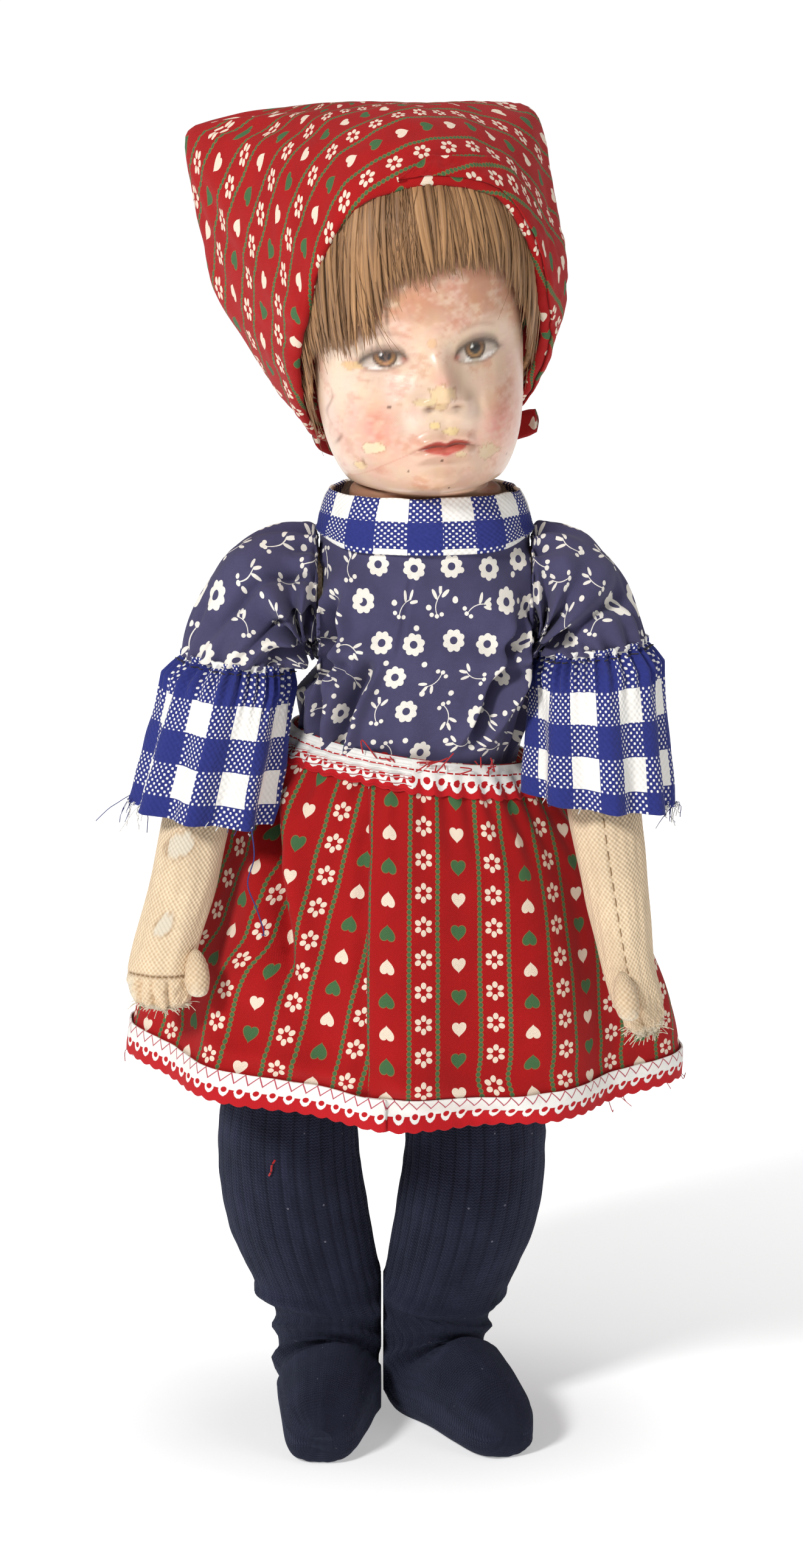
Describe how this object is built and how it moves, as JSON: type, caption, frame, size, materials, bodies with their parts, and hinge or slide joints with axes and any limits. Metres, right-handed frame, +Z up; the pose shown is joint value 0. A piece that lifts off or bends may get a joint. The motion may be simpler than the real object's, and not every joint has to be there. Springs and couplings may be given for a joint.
{
  "type": "cloth doll",
  "caption": "Standing cloth doll with a painted face, fringe wig, head scarf, frilled print blouse, full skirt and knitted stockings; head, arms and legs turn on hidden disc joints.",
  "frame": {"origin": "on the surface the doll stands on, under the middle of its box", "axes": "+Z up, the doll faces -Y, +X to the doll's left"},
  "size_m": [0.2216, 0.1712, 0.5355],
  "materials": {
    "muslin": "woven, matt",
    "face_paint": "oil paint, satin",
    "hair": "soft fibre",
    "red_print": "printed cotton, matt",
    "navy_print": "printed cotton, matt",
    "gingham": "woven check, matt",
    "lace_trim": "cotton trim, matt",
    "navy_knit": "ribbed knit, matt",
    "board": "pressed board",
    "steel": "dull metal"
  },
  "bodies": {
    "torso": {"torso": "muslin", "blouse": "navy_print", "collar": "gingham", "collar_loop": "steel", "press_stud": "steel", "skirt": "red_print", "waist_trim": "lace_trim", "hem_trim": "lace_trim", "neck_disc_body": "board", "neck_pin": "steel", "right_shoulder_disc_body": "board", "left_shoulder_disc_body": "board", "right_shoulder_pin": "steel", "left_shoulder_pin": "steel", "right_hip_disc_body": "board", "left_hip_disc_body": "board", "right_hip_pin": "steel", "left_hip_pin": "steel"},
    "head": {"head": "face_paint", "head_disc": "board", "wig": "hair", "head_scarf": "red_print", "scarf_knot": "red_print", "scarf_tail_right": "red_print", "scarf_tail_left": "red_print"},
    "right_arm": {"right_arm": "muslin", "right_thumb": "muslin", "right_arm_disc": "board", "right_sleeve": "navy_print", "right_frill": "gingham"},
    "left_arm": {"left_arm": "muslin", "left_thumb": "muslin", "left_arm_disc": "board", "left_sleeve": "navy_print", "left_frill": "gingham"},
    "right_leg": {"right_leg": "muslin", "right_leg_disc": "board", "right_stocking": "navy_knit"},
    "left_leg": {"left_leg": "muslin", "left_leg_disc": "board", "left_stocking": "navy_knit"}
  },
  "joints": [
    {"name": "neck_swivel", "type": "hinge", "parent": "torso", "child": "head", "pos_m": [0.0093, 0, 0.372], "axis": [0, 0, 1], "range_deg": [-70, 55]},
    {"name": "right_shoulder", "type": "hinge", "parent": "torso", "child": "right_arm", "pos_m": [-0.0313, 0, 0.345], "axis": [-1, 0, 0], "range_deg": [0, 100]},
    {"name": "left_shoulder", "type": "hinge", "parent": "torso", "child": "left_arm", "pos_m": [0.0499, 0, 0.345], "axis": [-1, 0, 0], "range_deg": [0, 100]},
    {"name": "right_hip", "type": "hinge", "parent": "torso", "child": "right_leg", "pos_m": [-0.025, 0, 0.228], "axis": [-1, 0, 0], "range_deg": [-15, 90], "deforming": ["skirt", "hem_trim"]},
    {"name": "left_hip", "type": "hinge", "parent": "torso", "child": "left_leg", "pos_m": [0.009, 0, 0.228], "axis": [-1, 0, 0], "range_deg": [-15, 90], "deforming": ["skirt", "hem_trim"]}
  ]
}
